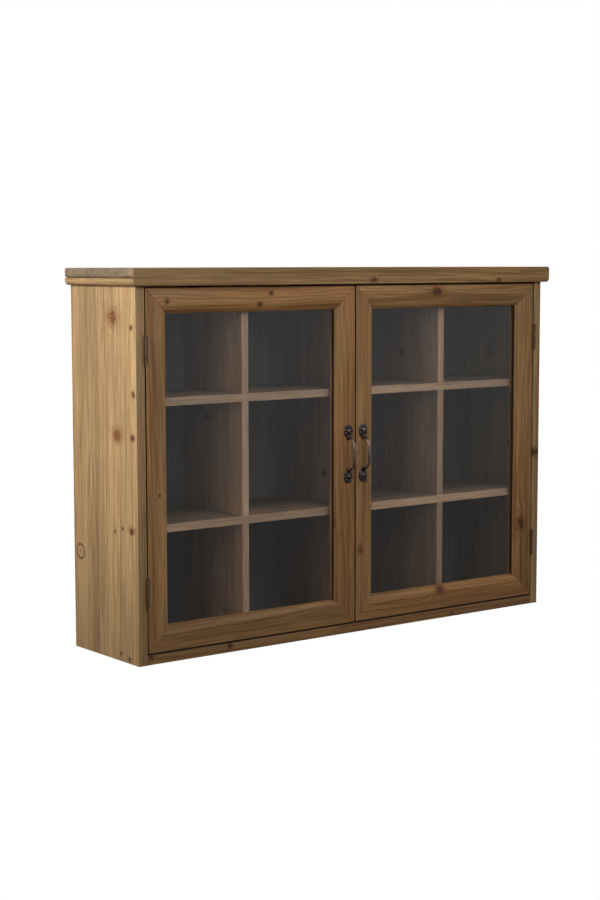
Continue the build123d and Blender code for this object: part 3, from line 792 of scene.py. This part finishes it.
def pull(side):
    """A cast bow pull: the parts are fused and smoothed as sand casting leaves them."""
    source = f"{side}_pull"
    low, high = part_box(source)
    screw_low, screw_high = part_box(f"{side}_pull_screws")
    middle = Vector(((low[0] + high[0]) / 2, FRONT_Y, (low[2] + high[2]) / 2))
    half = (screw_high[2] - screw_low[2]) / 2 - PULL_HEAD_R
    bm = bmesh.new()
    for end in (-1, 1):
        shell_plate(bm, middle + Vector((0, 0, end * half)), end)
        foot = Vector((0, -BALL_OUT, end * (BOW_HALF_H - BALL_INSET)))
        ball(bm, middle + foot, BALL_R, BALL_FLAT)
    bow(bm, middle)
    bmesh.ops.recalc_face_normals(bm, faces=bm.faces)
    mesh = bpy.data.meshes.new(source + "_casting")
    bm.to_mesh(mesh)
    bm.free()
    work = on_bench(mesh)
    fuse = work.modifiers.new("fused", "REMESH")
    fuse.mode = "VOXEL"
    fuse.voxel_size = VOXEL
    fuse.use_smooth_shade = True
    relax = work.modifiers.new("cast", "SMOOTH")
    relax.factor = 0.5
    relax.iterations = 3
    result = off_bench(work)
    # the back stays flat on the door
    for vert in result.vertices:
        vert.co.y = min(vert.co.y, FRONT_Y)
    return settle(result, source + "_casting", iron, source)


for side in ("left", "right"):
    pull(side)


# ---------------------------------------------------------------- screws and nails
def moved_mesh(tree, mesh, **settings):
    """A mesh moved or scaled by the settings given."""
    links = {"Geometry": mesh.outputs["Mesh"], **settings}
    return node(tree, "GeometryNodeTransform", links).outputs[0]


def head_shape(tree, radius, rise, slot, slotted):
    """One head: the upper half of a flattened ball, with a slot across it when it is a screw."""
    dome = node(tree, "GeometryNodeMeshUVSphere", {"Segments": 28, "Rings": 14, "Radius": 1.0})
    size = node(tree, "ShaderNodeCombineXYZ", {0: radius, 1: radius, 2: rise})
    wide = maths(tree, "MULTIPLY", radius, 3.0)
    tall = maths(tree, "MULTIPLY", rise, 2.0)
    under_size = node(tree, "ShaderNodeCombineXYZ", {0: wide, 1: wide, 2: tall})
    under = node(tree, "GeometryNodeMeshCube", {"Size": under_size.outputs[0]})
    below = node(tree, "ShaderNodeCombineXYZ", {2: maths(tree, "MULTIPLY", rise, -1.0)})
    slot_size = node(tree, "ShaderNodeCombineXYZ", {0: wide, 1: slot, 2: rise})
    bar = node(tree, "GeometryNodeMeshCube", {"Size": slot_size.outputs[0]})
    above = node(tree, "ShaderNodeCombineXYZ", {2: maths(tree, "MULTIPLY", rise, 0.95)})
    head = moved_mesh(tree, dome, Scale=size.outputs[0])
    cut = node(tree, "GeometryNodeMeshBoolean", {"Mesh 1": head}, operation="DIFFERENCE")
    tree.links.new(moved_mesh(tree, under, Translation=below.outputs[0]), cut.inputs["Mesh 2"])
    lifted = moved_mesh(tree, bar, Translation=above.outputs[0])
    groove = node(tree, "GeometryNodeSwitch", {"Switch": slotted, "True": lifted})
    tree.links.new(groove.outputs[0], cut.inputs["Mesh 2"])
    return cut.outputs["Mesh"]


def head_turn(tree, seed):
    """The turn that faces a head outwards, with its slot left at any angle."""
    facing = node(tree, "GeometryNodeInputNamedAttribute", {"Name": "facing"}, data_type="FLOAT_VECTOR")
    aim = node(
        tree, "FunctionNodeAlignRotationToVector", {"Vector": facing.outputs["Attribute"]}, axis="Z"
    )
    spin = node(tree, "FunctionNodeRandomValue", {"Seed": seed}, data_type="FLOAT")
    spin.inputs[3].default_value = math.pi
    own = node(tree, "ShaderNodeCombineXYZ", {2: spin.outputs[1]})
    as_turn = node(tree, "FunctionNodeEulerToRotation", {0: own.outputs[0]})
    turned = node(tree, "FunctionNodeRotateRotation", {0: aim.outputs[0]}, rotation_space="LOCAL")
    tree.links.new(as_turn.outputs[0], turned.inputs[1])
    return turned.outputs[0]


def head_tree():
    """Geometry nodes: a domed head on each point, facing its own way."""
    tree = bpy.data.node_groups.new("slotted screw heads", "GeometryNodeTree")
    sockets = tree.interface
    sockets.new_socket("Points", in_out="INPUT", socket_type="NodeSocketGeometry")
    for label, kind, value in (
        ("Head Radius", "Float", 3 * MM), ("Head Rise", "Float", 1.5 * MM),
        ("Slot Width", "Float", 0.8 * MM), ("Slotted", "Bool", True), ("Seed", "Int", 4),
    ):
        made = sockets.new_socket(label, in_out="INPUT", socket_type="NodeSocket" + kind)
        made.default_value = value
    sockets.new_socket("Metal", in_out="INPUT", socket_type="NodeSocketMaterial")
    sockets.new_socket("Heads", in_out="OUTPUT", socket_type="NodeSocketGeometry")
    given = node(tree, "NodeGroupInput").outputs
    head = head_shape(tree, given["Head Radius"], given["Head Rise"], given["Slot Width"], given["Slotted"])
    spread = node(
        tree, "GeometryNodeInstanceOnPoints",
        {"Points": given["Points"], "Instance": head, "Rotation": head_turn(tree, given["Seed"])},
    )
    solid = node(tree, "GeometryNodeRealizeInstances", {0: spread.outputs[0]})
    coated = node(
        tree, "GeometryNodeSetMaterial", {"Geometry": solid.outputs[0], "Material": given["Metal"]}
    )
    node(tree, "NodeGroupOutput", {0: coated.outputs[0]})
    return tree


HEADS = head_tree()

# Head radius, rise and slot width
PULL_HEAD = (PULL_HEAD_R, 2.3 * MM, 0.8 * MM)
LEAF_HEAD = (2.5 * MM, 0.12 * MM, 0.5 * MM)
STRIKE_HEAD = (2.3 * MM, 0.2 * MM, 0.5 * MM)
CATCH_HEAD = (2.8 * MM, 1.8 * MM, 0.7 * MM)
NAIL_HEAD = (2.1 * MM, 0.15 * MM, 0.0)

PULL_SEAT = 4.4 * MM            # from the door to the underside of a pull screw's head
CATCH_INSET = 2.8 * MM          # from the end of a group's box to the middle of its end screw
STRIKE_INSET = 2.4 * MM
LEAF_INSET = 2.6 * MM
LEAF_REACH = 30.0 * MM          # between the two screws of one leaf
FRAME_LEAF_X = 469.1 * MM       # the face of a frame leaf, from the middle of the cabinet


def heads(source, places, size, metal):
    """Heads at (point, facing) places, standing for a CAD group of screws, or of nails with no slot."""
    mesh = bpy.data.meshes.new("work")
    mesh.from_pydata([point for point, facing in places], [], [])
    facings = mesh.attributes.new("facing", "FLOAT_VECTOR", "POINT")
    for item, (point, facing) in zip(facings.data, places):
        item.vector = facing
    work = on_bench(mesh)
    made = work.modifiers.new("heads", "NODES")
    made.node_group = HEADS
    radius, rise, slot_w = size
    values = {
        "Head Radius": radius, "Head Rise": rise, "Slot Width": slot_w, "Slotted": slot_w > 0,
        "Metal": metal,
    }
    for item in HEADS.interface.items_tree:
        if item.item_type == "SOCKET" and item.name in values:
            made[item.identifier] = values[item.name]
    return settle(off_bench(work), source + "_heads", metal, source)


def middle_of(source, axis):
    """The middle of a CAD node's box along an axis."""
    low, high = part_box(source)
    return (low[axis] + high[axis]) / 2


def ends_of(source, inset):
    """The heights of the lowest and highest screw of a group."""
    low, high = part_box(source)
    return low[2] + inset, high[2] - inset


def leaf_levels(source):
    """The heights of the four screws in the two leaves on one side."""
    first, last = ends_of(source, LEAF_INSET)
    return first, first + LEAF_REACH, last - LEAF_REACH, last


def outer_x(source, sign):
    """The outer side of a CAD node's box, left for a negative sign."""
    low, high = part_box(source)
    return low[0] if sign < 0 else high[0]


def door_screws(side, sign):
    """The screws of one door: two through the pull, four in the leaves, two in the strike."""
    group = f"{side}_pull_screws"
    x = middle_of(group, 0)
    places = [((x, FRONT_Y - PULL_SEAT, z), (0, -1, 0)) for z in ends_of(group, PULL_HEAD_R)]
    heads(group, places, PULL_HEAD, iron)

    group = f"{side}_leaf_screws"
    x = outer_x(group, sign)
    y = middle_of(group, 1)
    heads(group, [((x, y, z), (sign, 0, 0)) for z in leaf_levels(group)], LEAF_HEAD, hinge_bronze)

    group = f"{side}_strike_screws"
    x = middle_of(group, 0)
    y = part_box(group)[1][1]
    places = [((x, y, z), (0, 1, 0)) for z in ends_of(group, STRIKE_INSET)]
    heads(group, places, STRIKE_HEAD, zinc)


def frame_leaf_screws():
    """The screws of the four leaves let into the sides."""
    group = "frame_leaf_screws"
    y = middle_of(group, 1)
    places = [
        ((sign * FRAME_LEAF_X, y, z), (-sign, 0, 0)) for sign in (-1, 1) for z in leaf_levels(group)
    ]
    heads(group, places, LEAF_HEAD, hinge_bronze)


def catch_screws():
    """The screws that hold the catches."""
    group = "catch_screws"
    y = middle_of(group, 1)
    places = [
        ((outer_x(f"{side}_catch", sign), y, z), (sign, 0, 0))
        for side, sign in (("left", -1), ("right", 1)) for z in ends_of(group, CATCH_INSET)
    ]
    heads(group, places, CATCH_HEAD, zinc)


def separate_solids(source):
    """The (low, high) box of each solid in a CAD group."""
    bm = bmesh.new()
    bm.from_mesh(frame["nodes"][source].data)
    bmesh.ops.remove_doubles(bm, verts=bm.verts, dist=WELD)
    boxes = []
    waiting = set(bm.verts)
    while waiting:
        reached = [waiting.pop()]
        for vert in reached:
            for edge in vert.link_edges:
                other = edge.other_vert(vert)
                if other in waiting:
                    waiting.remove(other)
                    reached.append(other)
        places = [vert.co for vert in reached]
        boxes.append(tuple(tuple(pick(p[i] for p in places) for i in range(3)) for pick in (min, max)))
    bm.free()
    return sorted(boxes)


def panel_nails():
    """The nail heads that show on the back panel."""
    places = [
        (((low[0] + high[0]) / 2, high[1], (low[2] + high[2]) / 2), (0, 1, 0))
        for low, high in separate_solids("panel_nails")
    ]
    heads("panel_nails", places, NAIL_HEAD, zinc)


door_screws("left", -1)
door_screws("right", 1)
frame_leaf_screws()
catch_screws()
panel_nails()


# ---------------------------------------------------------------- floor, light and camera
FLOOR_REACH = 30.0      # metres
FLOOR_GLOW = 1.08
FLOOR_GLOW_SHARE = 0.93


def straight_ahead(tree):
    """1 for a ray from the camera, straight or through a pane, and 0 for any other."""
    rays = node(tree, "ShaderNodeLightPath").outputs
    direct = maths(tree, "LESS_THAN", rays["Glossy Depth"], 0.5)
    through = maths(tree, "MULTIPLY", rays["Is Transmission Ray"], direct)
    first = maths(tree, "LESS_THAN", rays["Diffuse Depth"], 0.5)
    return maths(tree, "MAXIMUM", rays["Is Camera Ray"], maths(tree, "MULTIPLY", through, first))


def plain_floor():
    """A pale matt sweep, back-lit for the camera so that it stays clean white."""
    mesh = bpy.data.meshes.new("floor")
    corners = [(x * FLOOR_REACH, y * FLOOR_REACH, 0) for x, y in ((-1, -1), (1, -1), (1, 1), (-1, 1))]
    mesh.from_pydata(corners, [], [(0, 1, 2, 3)])
    floor = bpy.data.objects.new("floor", mesh)
    bpy.context.scene.collection.objects.link(floor)
    material, tree, shader, output = blank_material("pale_floor")
    shader.inputs["Base Color"].default_value = linear("#3A3A39")
    shader.inputs["Roughness"].default_value = 0.9
    glow = node(tree, "ShaderNodeEmission", {"Color": (1, 1, 1, 1), "Strength": FLOOR_GLOW})
    share = maths(tree, "MULTIPLY", straight_ahead(tree), FLOOR_GLOW_SHARE)
    both = node(tree, "ShaderNodeMixShader", {0: share, 1: shader.outputs[0], 2: glow.outputs[0]})
    tree.links.new(both.outputs[0], output.inputs["Surface"])
    mesh.materials.append(material)
    floor.visible_glossy = False


def softbox(name, place, target, width, height, power, spread=180):
    """A rectangular area light aimed at a point; spread, in degrees, narrows its beam."""
    data = bpy.data.lights.new(name, "AREA")
    data.shape = "RECTANGLE"
    data.size = width
    data.size_y = height
    data.energy = power
    data.spread = math.radians(spread)
    lamp = bpy.data.objects.new(name, data)
    bpy.context.scene.collection.objects.link(lamp)
    lamp.location = place
    lamp.visible_camera = False
    lamp.rotation_euler = (Vector(target) - Vector(place)).to_track_quat("-Z", "Y").to_euler()


FILL = 0.05                     # light of the room on matt surfaces
ROOM_LEVELS = (-0.24, 0.02)     # how steeply a mirrored ray has to climb to leave the floor for the room
ROOM_TONES = (0.2, 0.72)        # what glass and metal mirror below and above


def background(tree, strength):
    """White light from all round."""
    return node(tree, "ShaderNodeBackground", {"Color": (1, 1, 1, 1), "Strength": strength}).outputs[0]


def studio_world():
    """White for the camera, a pale room in reflections and a weak fill for the rest."""
    world = bpy.data.worlds.new("studio")
    bpy.context.scene.world = world
    world.use_nodes = True
    tree = world.node_tree
    tree.nodes.clear()
    glossy = node(tree, "ShaderNodeLightPath").outputs["Is Glossy Ray"]
    heading = node(tree, "ShaderNodeTexCoord").outputs["Generated"]
    level = node(tree, "ShaderNodeSeparateXYZ", {0: heading}).outputs["Z"]
    room = fade(tree, level, *ROOM_LEVELS, *ROOM_TONES)
    dim = node(
        tree, "ShaderNodeMixShader", {0: glossy, 1: background(tree, FILL), 2: background(tree, room)}
    )
    lit = node(
        tree, "ShaderNodeMixShader", {0: straight_ahead(tree), 1: dim.outputs[0], 2: background(tree, 1.0)}
    )
    node(tree, "ShaderNodeOutputWorld", {0: lit.outputs[0]})


CAMERA_PLACE = Vector((-2.1050, -2.5939, 0.7078)) + Vector((CENTRE_X, FRONT_Y, 0))
YAW = math.radians(37.25)
PITCH = math.radians(-6.08)
ROLL = math.radians(-0.066)
LENS = 70.56
SENSOR_W = 36.0


def main_camera():
    """The camera of the main view, to the left of the front and a little above."""
    forward = Vector((math.sin(YAW) * math.cos(PITCH), math.cos(YAW) * math.cos(PITCH), math.sin(PITCH)))
    right = Vector((math.cos(YAW), -math.sin(YAW), 0))
    up = right.cross(forward)
    data = bpy.data.cameras.new("camera")
    data.lens = LENS
    data.sensor_width = SENSOR_W
    camera = bpy.data.objects.new("camera", data)
    bpy.context.scene.collection.objects.link(camera)
    upright = Matrix((right, up, -forward)).transposed().to_4x4()
    camera.matrix_world = Matrix.Translation(CAMERA_PLACE) @ upright @ Matrix.Rotation(ROLL, 4, "Z")
    bpy.context.scene.camera = camera


plain_floor()
softbox("left_softbox", (-1.555, 0.03, 1.0), (-0.488, 0.03, 0.5), 0.6, 0.6, 2.4, 64)
softbox("front_softbox", (0.0, -1.15, 1.02), (0.0, -0.11, 0.5), 1.1, 0.5, 5.1)
softbox("right_softbox", (1.5, 0.95, 1.1), (0.3, 0.1, 0.4), 0.7, 0.7, 4.5)
studio_world()
bpy.context.scene.view_settings.view_transform = "Standard"
main_camera()
